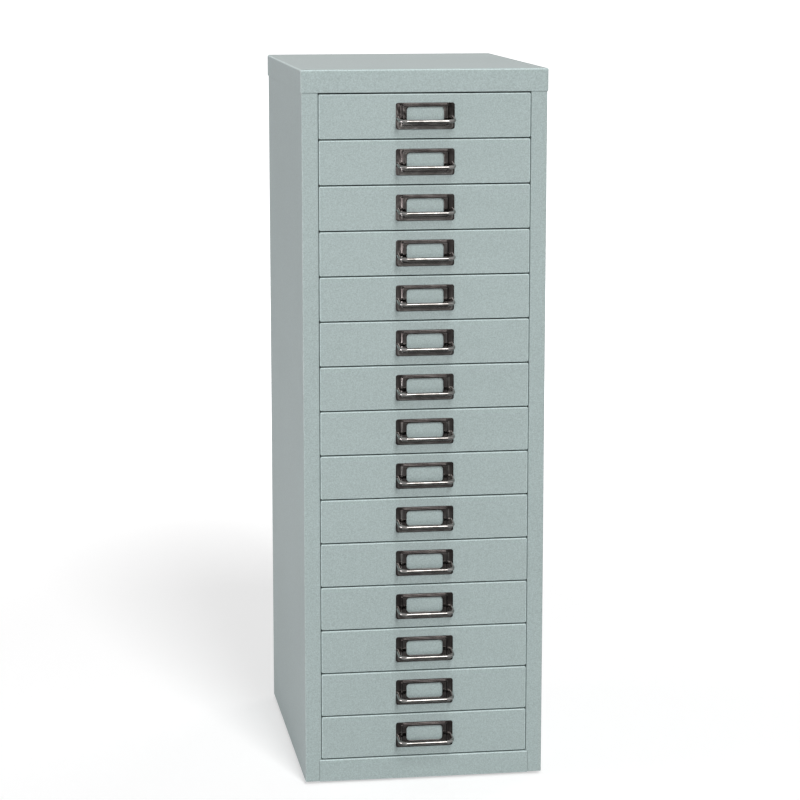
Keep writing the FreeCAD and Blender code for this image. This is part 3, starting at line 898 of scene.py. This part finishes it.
@dataclass
class Carcass:
    """The cabinet's fixed body: cap, sides, back, base, head rail, runners and glides.

    Attributes:
        finishes: the materials.
        gauge, inside: thickness of the sheet and inside radius of its folds.
        stile_return: depth of a stile's folded-back edge.
        stile_lap: how much nearer to the drawers that edge is than in the frame.
        back_flange, floor_flange: widths of a side's flanges.
        relief: gap at the corner where flanges meet.
        notch_reach: how far the base's rail reaches in front of a stile.
        notch_fit: gap beside the rail.
        lip, lip_drop: depth of the rail's lip and height of its turned-down edge.
        upturn: height of the base's rear flange.
        stop_width, stop_inset, stop_drop: a stop tab's width, place and height.
        cap_edge, cap_corner: rounding of the cap's top edges and of its corners.
        glide_rim: rounding of a glide's foot.
        glide_stem, glide_barb: radius of its stem and of the barb on it.
    """

    finishes: Finishes
    gauge: float = 1.0 * MM
    inside: float = 0.5 * MM
    stile_return: float = 13 * MM
    stile_lap: float = 0.6 * MM
    back_flange: float = 14 * MM
    floor_flange: float = 20 * MM
    relief: float = 4 * MM
    notch_reach: float = 2.0 * MM
    notch_fit: float = 0.3 * MM
    lip: float = 13 * MM
    lip_drop: float = 7.5 * MM
    upturn: float = 15 * MM
    stop_width: float = 4 * MM
    stop_inset: float = 1 * MM
    stop_drop: float = 6 * MM
    cap_edge: float = 2.0 * MM
    cap_corner: float = 2.6 * MM
    glide_rim: float = 1.0 * MM
    glide_stem: float = 4.0 * MM
    glide_barb: float = 5.0 * MM

    def __post_init__(self) -> None:
        """Reads the main lines from the frame."""
        side_low, side_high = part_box("side_right")
        base_low, base_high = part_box("base_panel")
        self.half_width = side_high.x
        self.opening_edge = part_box("head_rail")[1].x
        self.face = side_low.y
        self.rear = side_high.y
        self.side_foot = side_low.z
        self.under_cap = side_high.z
        self.base_foot = base_low.z
        self.rail_top = base_high.z
        self.floor_reach = base_high.x
        self.cap_low, self.cap_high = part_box("top_cap")

    def side(self, hand: int) -> Surface:
        """A side panel: outer wall, stile with its folded-back edge, rear flange and floor flange.

        Args:
            hand: -1 for the left side and 1 for the right.

        Returns:
            The panel's surface.
        """
        half = self.gauge / 2
        wall = hand * (self.half_width - half)
        front = self.face + half
        back = self.rear - half
        turn_in = hand * (self.opening_edge - self.stile_lap + half)
        corners = [
            (hand * (self.half_width - self.back_flange), back),
            (wall, back),
            (wall, front),
            (hand * (self.opening_edge + self.notch_reach), front),
            (turn_in, front),
            (turn_in, self.face + self.stile_return),
        ]
        levels = (self.side_foot, self.rail_top + self.notch_fit, self.under_cap)
        kept = np.ones((2, len(corners) - 1), bool)
        kept[0, 3:] = False
        panel = folded_sheet(corners, self.gauge, self.inside, levels, Axis.Z, kept)
        outer, inner = self.half_width - self.gauge, self.half_width - self.floor_flange
        flange = plate(
            (hand * outer, self.face + self.stile_return + self.gauge, self.side_foot),
            (hand * inner, self.rear - self.relief, self.side_foot + self.gauge),
        )
        return joined([panel, flange])

    def back(self) -> Surface:
        """The back panel with its flange under the cap.

        Returns:
            The panel's surface.
        """
        low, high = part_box("back_panel")
        half = self.gauge / 2
        corners = [
            (high.y - half, low.z),
            (high.y - half, high.z - half),
            (low.y, high.z - half),
        ]
        return folded_sheet(corners, self.gauge, self.inside, (low.x, high.x), Axis.X)

    def base(self) -> Surface:
        """The floor sheet, its front edge folded up as the lowest rail and back as a lip.

        Returns:
            The panel's surface.
        """
        half = self.gauge / 2
        _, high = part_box("base_panel")
        rail_reach = self.opening_edge + self.notch_reach - self.notch_fit
        floor = self.base_foot + half
        back = high.y - half
        corners = [
            (self.face + self.lip - half, self.rail_top - self.lip_drop),
            (self.face + self.lip - half, self.rail_top - half),
            (self.face + half, self.rail_top - half),
            (self.face + half, floor),
            (self.face + self.relief, floor),
            (self.rear - self.relief, floor),
            (back, floor),
            (back, self.base_foot + self.upturn),
        ]
        levels = (-self.floor_reach, -rail_reach, rail_reach, self.floor_reach)
        kept = np.zeros((3, len(corners) - 1), bool)
        kept[:, 4] = True
        kept[1] = True
        # The base sheet's folds, the rail's top edge among them, get a painted highlight.
        return folded_sheet(corners, self.gauge, self.inside, levels, Axis.X, kept, painted_light=1.0)

    def head_rail(self) -> Surface:
        """The folded channel behind the cap's skirt.

        Returns:
            The rail's surface.
        """
        low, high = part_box("head_rail")
        half = self.gauge / 2
        corners = [
            (high.y, low.z + half),
            (low.y + half, low.z + half),
            (low.y + half, high.z - half),
            (high.y, high.z - half),
        ]
        return folded_sheet(corners, self.gauge, self.inside, (low.x, high.x), Axis.X)

    def cap(self) -> Surface:
        """The pressed lid, drawn face up: its depth runs down from the top.

        Returns:
            The cap's surface.
        """
        half = (self.cap_high - self.cap_low) / 2
        middle = (self.cap_high + self.cap_low) / 2
        pan = Pan(half.x, half.y, half.z * 2, self.gauge, self.cap_edge, self.cap_corner)
        lid = pan.surface()
        points = np.array([middle.x, middle.y, self.cap_high.z]) + lid.points * (1, 1, -1)
        return Surface(points, lid.faces, lid.tone)

    def runners(self, node: str, hand: int) -> Surface:
        """One folded channel with a stop tab for each drawer on one side.

        Args:
            node: the frame's node that the channels stand for.
            hand: -1 for the left side and 1 for the right.

        Returns:
            The surface of all of them.
        """
        low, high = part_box(node)
        half = self.gauge / 2
        web = hand * (max(abs(low.x), abs(high.x)) - half)
        mouth = hand * min(abs(low.x), abs(high.x))
        drawers = sorted(Drawer.lifts().values())
        pitch = drawers[1] - drawers[0]
        foot = low.z + self.stop_drop
        top = high.z - pitch * (len(drawers) - 1)
        corners = [
            (mouth, foot + half),
            (web, foot + half),
            (web, top - half),
            (mouth, top - half),
        ]
        channel = folded_sheet(corners, self.gauge, self.inside, (low.y, high.y), Axis.Y, steps=4)
        front, back = low.y + self.stop_inset, low.y + self.stop_inset + self.gauge
        tab = plate((mouth, front, low.z), (mouth + hand * self.stop_width, back, foot + half))
        runner = joined([channel, tab])
        return joined(runner.moved(z=pitch * step) for step in range(len(drawers)))

    def glide(self, node: str) -> Surface:
        """A turned floor glide with a soft lower rim, its stem and barb.

        Args:
            node: the frame's node that it stands for.

        Returns:
            The glide's surface.
        """
        low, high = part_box(node)
        radius = (high.x - low.x) / 2
        rim, stem = self.glide_rim, self.glide_stem
        turns = np.linspace(0, QUARTER, 6)
        profile = [(radius - rim * (1 - math.sin(a)), rim * (1 - math.cos(a))) for a in turns]
        sheet, sheet_top = self.base_foot, self.base_foot + self.gauge
        profile += [(radius, sheet), (stem, sheet), (stem, sheet_top)]
        profile += [(self.glide_barb, sheet_top), (stem, high.z)]
        middle = (low + high) / 2
        return turned(profile).moved(x=middle.x, y=middle.y)

    def build(self) -> None:
        """Makes every piece of the body."""
        steel, zinc, plastic = self.finishes.steel, self.finishes.zinc, self.finishes.plastic
        pieces = [("cap_lid", self.cap(), "top_cap", steel, Slot.STEEL)]
        for hand, side in ((-1, "left"), (1, "right")):
            node = f"side_{side}"
            pieces.append((f"side_sheet_{side}", self.side(hand), node, steel, Slot.STEEL))
            node = f"runners_{side}"
            channels = self.runners(node, hand)
            pieces.append((f"channels_{side}", channels, node, zinc, Slot.RUNNER))
            for row in ("front", "rear"):
                node = f"glide_{row}_{side}"
                pieces.append((f"foot_{row}_{side}", self.glide(node), node, plastic, Slot.GLIDE))
        pieces += [
            ("back_sheet", self.back(), "back_panel", steel, Slot.STEEL),
            ("base_sheet", self.base(), "base_panel", steel, Slot.STEEL),
            ("head_channel", self.head_rail(), "head_rail", steel, Slot.STEEL),
        ]
        for name, surface, node, material, slot in pieces:
            make_piece(name, surface, material, "cabinet", [node])


# The drawers


@dataclass(frozen=True)
class PullPaintedLight:
    """Painted reflections, highlights and shade on a pull's nickel, from 0 to 1, along the frame's
    rings and on its wire.

    Attributes:
        rim: the frame's edges and underside.
        turn: the rounding of its outer edge.
        flange: insets on the flange with their tones.
        flank: shares of the step up to the raised middle with their tones.
        plateau: shares of the way from there to the window with their tones.
        lip: the rounding round the window, and the most above it, a painted shade where the frame
            faces up.
        lintel: the same at the window's top.
        below: what the lower edge has more, a painted highlight.
        bar: the wire's bar.
        arms: the wire's arms and bends, paler than the bar as a painted highlight.
    """

    rim: float = 0.1
    turn: float = 0.05
    flange: Pairs = ((1.2 * MM, 0.30), (2.6 * MM, 0.46), (3.8 * MM, 0.22))
    flank: Pairs = ((0, 0.2), (0.2, 0.95), (0.5, 0.8), (0.8, 0.1), (1, 0.1))
    plateau: Pairs = ((0.16, 0.12), (0.30, 0.72), (0.42, 0.25), (0.7, 0.5), (0.9, 0.3))
    lip: float = 0.3
    lintel: float = 0.7
    below: float = 0.25
    bar: float = 0.64
    arms: float = 0.9


@dataclass(frozen=True)
class Outline:
    """A rounded rectangle that rings of the label frame follow.

    Attributes:
        half_width: middle to its left and right sides.
        half_height: middle to its lower and upper sides.
        corner: rounding of its corners.
        level: height of its middle.
        face: the drawer's face.
    """

    half_width: float
    half_height: float
    corner: float
    level: float
    face: float

    def ring(self, inset: float, rise: float) -> Array:
        """The outline drawn in and brought forwards.

        Args:
            inset: how far it is drawn in.
            rise: how far in front of the face it is.

        Returns:
            The ring's points.
        """
        across, up = self.half_width - inset, self.half_height - inset
        outline = rounded_rectangle(across, up, self.corner - inset, 7, self.level)
        return placed(outline, self.face - rise, Axis.Y)


@dataclass
class Drawer:
    """One drawer: its front, tray, label frame and wire handle.

    Attributes:
        number: 1 for the top drawer.
        finishes: the materials.
        front_gauge, front_edge, front_corner: the front's sheet, pressed edge and corners.
        front_lap: how much further than in the frame it reaches at each side.
        tray_gauge, tray_inside, tray_half_width: the tray's sheet, folds and walls.
        wall_fit: gap between its front wall and the front's skirt.
        flange_height: foot of the front to the top of the hemmed flanges.
        hem_start, hem_thick, hem_round: the hems' place, thickness and share that is rounded.
        rear_drop: how much lower the rear wall is than the flanges.
        lug_reach, lug_height, lug_top, lug_place: the stop lugs' size and place.
        pull_gauge, pull_corner: the label frame's sheet and corners.
        pull_soft, pull_broken: rounding of its outer edge and of its other edges.
        step_side, step_below, step_above: width of its flange.
        step_rise, step_width, step_corner: the step up to its raised middle.
        step_lead: share of the step's width that lies outside its line.
        window, window_below_top, window_corner, window_soft: its window.
        wire_radius, wire_half_width, wire_bend: the wire and its arms and bends.
        wire_rise: how much higher the arms end than they start.
        wire_below_top: top of the frame to the bar.
        wire_end, head, head_soft: the wire's thinner ends and their upset heads.
        tones: the painted reflections, highlights and shade on the nickel.
    """

    number: int
    finishes: Finishes
    front_gauge: float = 0.9 * MM
    front_edge: float = 1.4 * MM
    front_corner: float = 1.9 * MM
    front_lap: float = 0.3 * MM
    tray_gauge: float = 0.8 * MM
    tray_inside: float = 1.2 * MM
    tray_half_width: float = 117.5 * MM
    wall_fit: float = 0.3 * MM
    flange_height: float = 47 * MM
    hem_start: float = 22 * MM
    hem_thick: float = 1.6 * MM
    hem_round: float = 0.45
    rear_drop: float = 3 * MM
    lug_reach: float = 4 * MM
    lug_height: float = 6 * MM
    lug_top: float = 43.8 * MM
    lug_place: float = 282.5 * MM
    pull_gauge: float = 0.8 * MM
    pull_corner: float = 2.8 * MM
    pull_soft: float = 0.35 * MM
    pull_broken: float = 0.1 * MM
    step_side: float = 6.8 * MM
    step_below: float = 3.9 * MM
    step_above: float = 1.6 * MM
    step_rise: float = 1.5 * MM
    step_width: float = 1.7 * MM
    step_lead: float = 0.3
    step_corner: float = 2.6 * MM
    window: Pair = (44 * MM, 17.8 * MM)
    window_below_top: float = 4.7 * MM
    window_corner: float = 3.9 * MM
    window_soft: float = 0.5 * MM
    wire_radius: float = 2.1 * MM
    wire_half_width: float = 32.2 * MM
    wire_bend: float = 8.5 * MM
    wire_rise: float = 3.0 * MM
    wire_below_top: float = 20.6 * MM
    wire_end: float = 1.5 * MM
    head: Pair = (2.4 * MM, 1.0 * MM)
    head_soft: float = 0.2 * MM
    tones: PullPaintedLight = PullPaintedLight()

    def __post_init__(self) -> None:
        """Reads this drawer's own lines from the frame."""
        self.body = f"drawer_{self.number:02d}"
        self.front_low, self.front_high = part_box(f"{self.body}_front")
        self.tray_low, self.tray_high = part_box(f"{self.body}_tray")
        self.pull_low, self.pull_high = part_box(f"{self.body}_pull")
        self.face = self.front_low.y
        self.foot = self.front_low.z

    @staticmethod
    def lifts() -> dict[str, float]:
        """The height of each drawer's front above the floor, by body."""
        bodies = [name for name in frame["bodies"] if name.startswith("drawer")]
        return {name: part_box(f"{name}_front")[0].z for name in bodies}

    def front(self) -> Surface:
        """The folded pan, with its depth running back from the face.

        Returns:
            The front's surface.
        """
        half = (self.front_high - self.front_low) / 2
        middle = (self.front_high + self.front_low) / 2
        reach, depth = half.x + self.front_lap, half.y * 2
        pan = Pan(reach, half.z, depth, self.front_gauge, self.front_edge, self.front_corner)
        flat = pan.surface()
        points = flat.points[:, [0, 2, 1]] + (0.0, self.face, middle.z)
        return Surface(points, flat.faces, flat.tone)

    def tray(self) -> Surface:
        """Trough, front and rear walls, hemmed flanges and stop lugs.

        Returns:
            The tray's surface.
        """
        gauge, half = self.tray_gauge, self.tray_gauge / 2
        low, high = self.tray_low, self.tray_high
        flange_top = self.foot + self.flange_height
        wall = self.tray_half_width - half
        floor = low.z + half
        start, end = low.y + gauge, high.y
        corners = [(-wall, flange_top), (-wall, floor), (wall, floor), (wall, flange_top)]
        pieces = [folded_sheet(corners, gauge, self.tray_inside, (start, end), Axis.Y)]
        reach = self.front_high.x - self.front_gauge - self.wall_fit
        pieces.append(plate((-reach, low.y, low.z), (reach, start, high.z)))
        rear_line = [(end - half, floor), (end - half, flange_top - self.rear_drop)]
        inner = wall - half
        pieces.append(folded_sheet(rear_line, gauge, 0, (-inner, inner), Axis.X))
        hem_half = (high.x - wall) / 2
        rounding = self.hem_thick * self.hem_round
        hem = rounded_rectangle(hem_half, self.hem_thick / 2, rounding, 4)
        hem_level = flange_top - self.hem_thick / 2
        lug_low = self.foot + self.lug_top - self.lug_height
        lug_front = self.face + self.lug_place
        for hand in (-1, 1):
            middle = (hand * (wall + hem_half), hem_level)
            ends = (self.face + self.hem_start, end)
            pieces.append(lofted([placed(hem + middle, place, Axis.Y) for place in ends]))
            tip = hand * (wall + half + self.lug_reach)
            lug_high = lug_low + self.lug_height
            lug = plate((hand * wall, lug_front, lug_low), (tip, lug_front + gauge, lug_high))
            pieces.append(lug)
        return joined(pieces)

    def label_frame(self) -> Surface:
        """The pressed frame as rings from its outer edge to its window and back underneath.

        Between the flange and the raised middle the rings follow 3u^2 - 2u^3, a soft step.

        Returns:
            The closed surface.
        """
        tones, face, gauge = self.tones, self.face, self.pull_gauge
        soft, rim, broken = self.pull_soft, self.window_soft, self.pull_broken
        crest = gauge + self.step_rise
        half_width = (self.pull_high.x - self.pull_low.x) / 2
        half_height = (self.pull_high.z - self.pull_low.z) / 2
        level = (self.pull_low.z + self.pull_high.z) / 2
        edge = Outline(half_width, half_height, self.pull_corner, level, face)
        step = Outline(
            half_width - self.step_side,
            half_height - (self.step_below + self.step_above) / 2,
            self.step_corner,
            level + (self.step_below - self.step_above) / 2,
            face,
        )
        width, height = self.window[0] / 2, self.window[1] / 2
        middle = half_height - self.window_below_top - height
        window = Outline(width, height, self.window_corner, level + middle, face)

        share = np.linspace(0, 1, 9)
        climb = self.step_rise * (3 * share**2 - 2 * share**3)
        insets = self.step_width * (share - self.step_lead)
        turns = np.linspace(0, QUARTER, 5)
        rows = [(edge.ring(broken, 0.0), tones.rim), (edge.ring(0.0, broken), tones.rim)]
        for a in turns:
            inset, rise = soft * (1 - math.cos(a)), gauge - soft * (1 - math.sin(a))
            rows.append((edge.ring(inset, rise), tones.turn))
        start, end = edge.ring(soft, gauge), step.ring(insets[0], gauge)
        for inset, tone in tones.flange:
            part = (inset - soft) / (self.step_side + insets[0] - soft)
            rows.append((start * (1 - part) + end * part, tone))
        for inset, rise, tone in zip(insets, climb, np.interp(share, *zip(*tones.flank))):
            rows.append((step.ring(inset, gauge + rise), tone))
        start, end = rows[-1][0], window.ring(-rim, crest)
        for part, tone in tones.plateau:
            rows.append((start * (1 - part) + end * part, tone))
        for a in turns:
            inset, rise = -rim * (1 - math.sin(a)), crest - rim * (1 - math.cos(a))
            rows.append((window.ring(inset, rise), tones.lip))
        rows.append((window.ring(0.0, crest - gauge + broken), tones.rim))
        rows.append((window.ring(-broken, crest - gauge), tones.rim))
        for inset, rise in zip(insets[::-1], climb[::-1]):
            rows.append((step.ring(inset + gauge / 2, rise), tones.rim))

        surface = lofted([ring for ring, _ in rows], closed=True)
        # Each ring's tone is painted light: reflections, highlights and shade on the nickel.
        painted_light = np.repeat([tone for _, tone in rows], len(start))
        across, depth, up = surface.points.T
        # Painted shade on the upper parts, which face up; painted highlights at the window's top
        # and along the lower edge.
        upper = up > self.pull_high.z - self.window_below_top + rim / 2
        painted_light[upper] = np.minimum(painted_light[upper], tones.lip)
        lintel = np.abs(up - self.pull_high.z + self.window_below_top - rim / 2) <= rim / 2
        painted_light[lintel & (depth < face)] = tones.lintel
        lower = up < self.pull_low.z + self.step_below + self.step_width
        lower &= np.abs(across) < half_width - self.pull_corner + soft
        painted_light[lower] += tones.below
        return Surface(surface.points, surface.faces, painted_light)

    def wire(self) -> Surface:
        """The bent wire: two thinner ends with upset heads, two arms, two bends and the bar.

        Each point is lifted by the wire's rise times its share of the way from bar to frame.

        Returns:
            The handle's surface.
        """
        bar = self.pull_low.y + self.wire_radius
        foot = self.face - self.pull_gauge
        half = self.wire_half_width
        corners = [(-half, foot), (-half, bar), (half, bar), (half, foot)]
        line, ways, _ = smooth_line(corners, self.wire_bend, 14)
        head_radius, head_height = self.head
        behind, soft = self.face + self.front_gauge, self.head_soft
        stations = [
            (behind + head_height, head_radius - soft),
            (behind + head_height - soft, head_radius),
            (behind, head_radius),
            (behind, self.wire_end),
            (foot, self.wire_end),
            (foot, self.wire_radius),
        ]
        heights, radii = np.array(stations).T
        end = len(stations)
        left = np.stack([np.full(end, -half), heights], axis=1)
        right = np.stack([np.full(end, half), heights], axis=1)[::-1]
        whole = np.concatenate([left, line[1:-1], right])
        turns = np.concatenate([ways[:1].repeat(end, 0), ways[1:-1], ways[-1:].repeat(end, 0)])
        thick = np.full(len(whole), self.wire_radius)
        thick[:end] = radii
        thick[-end:] = radii[::-1]
        level = self.pull_high.z - self.wire_below_top
        handle = tube(whole, turns, thick, level)
        arms = np.abs(handle.points[:, 0]) > half - self.wire_bend
        back = np.clip((handle.points[:, 1] - bar) / (foot - bar), 0, 1)
        points = handle.points + back[:, None] * (0, 0, self.wire_rise)
        # The arms and bends get a paler tone than the bar: a painted highlight.
        tones = np.where(arms, self.tones.arms, self.tones.bar)
        return Surface(points, handle.faces, tones)

    def build(self) -> None:
        """Makes the drawer's four pieces."""
        finishes = self.finishes
        pieces = (
            ("front", self.front(), finishes.steel, "front", Slot.STEEL),
            ("tray", self.tray(), finishes.tray, "tray", Slot.TRAY),
            ("label_frame", self.label_frame(), finishes.plate, "pull", Slot.NICKEL),
            ("wire_handle", self.wire(), finishes.wire, "pull", Slot.NICKEL),
        )
        for name, surface, material, node, slot in pieces:
            piece, nodes = f"{name}_{self.number:02d}", [f"{self.body}_{node}"]
            make_piece(piece, surface, material, self.body, nodes)


# The studio


@dataclass(frozen=True)
class Lamp:
    """A soft oblong lamp.

    Attributes:
        name: the lamp's name.
        place: where it stands.
        aim: the point that it faces.
        size: its width and height.
        radiance: how bright its face is, where 1 is white.
        colour: its light's colour.
    """

    name: str
    place: Triple
    aim: Triple
    size: Pair
    radiance: float
    colour: Colour = WHITE

    def build(self) -> None:
        """Adds the lamp; a power of radiance * pi * area gives its face that brightness."""
        data = bpy.data.lights.new(self.name, "AREA")
        data.shape = "RECTANGLE"
        data.size, data.size_y = self.size
        data.energy = self.radiance * math.pi * self.size[0] * self.size[1]
        data.color = self.colour
        lamp = added(self.name, data)
        lamp.location = self.place
        way = Vector(self.aim) - Vector(self.place)
        lamp.rotation_euler = way.to_track_quat("-Z", "Y").to_euler()


@dataclass(frozen=True)
class Viewpoint:
    """The photograph's camera, fitted to the corners of the body and the gaps between the drawers.

    Attributes:
        place: where the camera stands.
        yaw: how far it is turned to the right of straight ahead, in radians.
        pitch: how far it looks up, in radians.
        focal: focal length in pixels of the photograph.
        pixels: width of the photograph.
        sensor: width of the sensor in millimetres.
        clip: nearest and furthest that it sees.
    """

    place: Triple = (-0.4834, -3.2008, 1.0182)
    yaw: float = 0.1490
    pitch: float = -0.1774
    focal: float = 2619.9
    pixels: int = 800
    sensor: float = 36.0
    clip: Pair = (0.1, 200.0)

    def build(self) -> None:
        """Adds the camera and makes it the scene's own."""
        data = bpy.data.cameras.new("photo_view")
        data.sensor_width = self.sensor
        data.lens = self.focal * self.sensor / self.pixels
        data.clip_start, data.clip_end = self.clip
        camera = added("photo_view", data)
        camera.location = self.place
        camera.rotation_euler = Euler((QUARTER + self.pitch, 0, -self.yaw))
        bpy.context.scene.camera = camera


@dataclass(frozen=True)
class Studio:
    """Pale floor, white surroundings and soft lamps.

    Attributes:
        reach: half the floor's width.
        floor_colour: the floor's own colour.
        floor_roughness: how dull it is.
        floor_lift: light that the floor gives off towards the camera beside the cabinet.
        fade: distances between which that light grows to white.
        surround: brightness of the surroundings as a light on the object.
        aim: the point that the lamps face.
    """

    reach: float = 60.0
    floor_colour: Colour = (0.55, 0.55, 0.55)
    floor_roughness: float = 0.9
    floor_lift: float = 0.56
    fade: Pair = (0.7, 2.6)
    surround: float = 0.22
    aim: Triple = (0.0, 0.0, 0.45)

    def floor(self) -> None:
        """A floor that keeps the cabinet's shadow and fades to white in the camera's view."""
        mesh = bpy.data.meshes.new("floor")
        half = self.reach
        corners = [(-half, -half, 0), (half, -half, 0), (half, half, 0), (-half, half, 0)]
        mesh.from_pydata(corners, [], [(0, 1, 2, 3)])
        floor = added("floor", mesh)
        bench = Bench("studio_floor")
        bench.shader.inputs["Base Color"].default_value = (*self.floor_colour, 1)
        bench.shader.inputs["Roughness"].default_value = self.floor_roughness
        bench.shader.inputs["Emission Color"].default_value = (*WHITE, 1)
        seen = bench.add("ShaderNodeLightPath").outputs["Is Camera Ray"]
        distance = bench.add("ShaderNodeVectorMath", operation="LENGTH")
        bench.link(bench.place, distance.inputs[0])
        grown = bench.spread(distance.outputs["Value"], self.floor_lift, 1.0, self.fade)
        grown.node.interpolation_type = "SMOOTHSTEP"
        lift = bench.total(seen, grown, Pairing.PRODUCT)
        bench.link(lift, bench.shader.inputs["Emission Strength"])
        mesh.materials.append(bench.material)

    def surroundings(self) -> None:
        """White where it is seen or mirrored, and softer as a light."""
        world = bpy.data.worlds.new("surroundings")
        bpy.context.scene.world = world
        world.use_nodes = True
        nodes = Nodes(world.node_tree)
        background = nodes.tree.nodes["Background"]
        background.inputs["Color"].default_value = (*WHITE, 1)
        rays = nodes.add("ShaderNodeLightPath").outputs
        shown = rays["Is Camera Ray"]
        for name in ("Is Glossy Ray", "Is Transmission Ray"):
            shown = nodes.total(shown, rays[name])
        strength = nodes.spread(shown, self.surround, 1.0, (0.0, 1.0))
        nodes.link(strength, background.inputs["Strength"])

    def build(self) -> None:
        """Adds the floor, the surroundings and the lamps."""
        self.floor()
        self.surroundings()
        lamps = (
            Lamp("key", (1.5, -9.5, 8.1), self.aim, (2.6, 8.0), 16.4),
            Lamp("front", (-0.6, -5.5, 0.3), self.aim, (2.5, 0.9), 5.2),
            Lamp("left", (-3.0, 0.0, 0.15), self.aim, (2.2, 0.7), 13.4, (1.0, 0.93, 0.96)),
            Lamp("right_rear", (3.2, 3.2, 0.8), self.aim, (2.6, 1.8), 5.2),
        )
        for lamp in lamps:
            lamp.build()


def main() -> None:
    """Builds the camera, the studio, the cabinet's body and its drawers, and reports each piece."""
    logging.basicConfig(level=logging.INFO, format="%(message)s")
    bpy.context.scene.view_settings.view_transform = "Standard"
    Viewpoint().build()
    Studio().build()
    finishes = Finishes()
    Carcass(finishes).build()
    for number in range(1, len(Drawer.lifts()) + 1):
        Drawer(number, finishes).build()


if __name__ == "__main__":
    main()
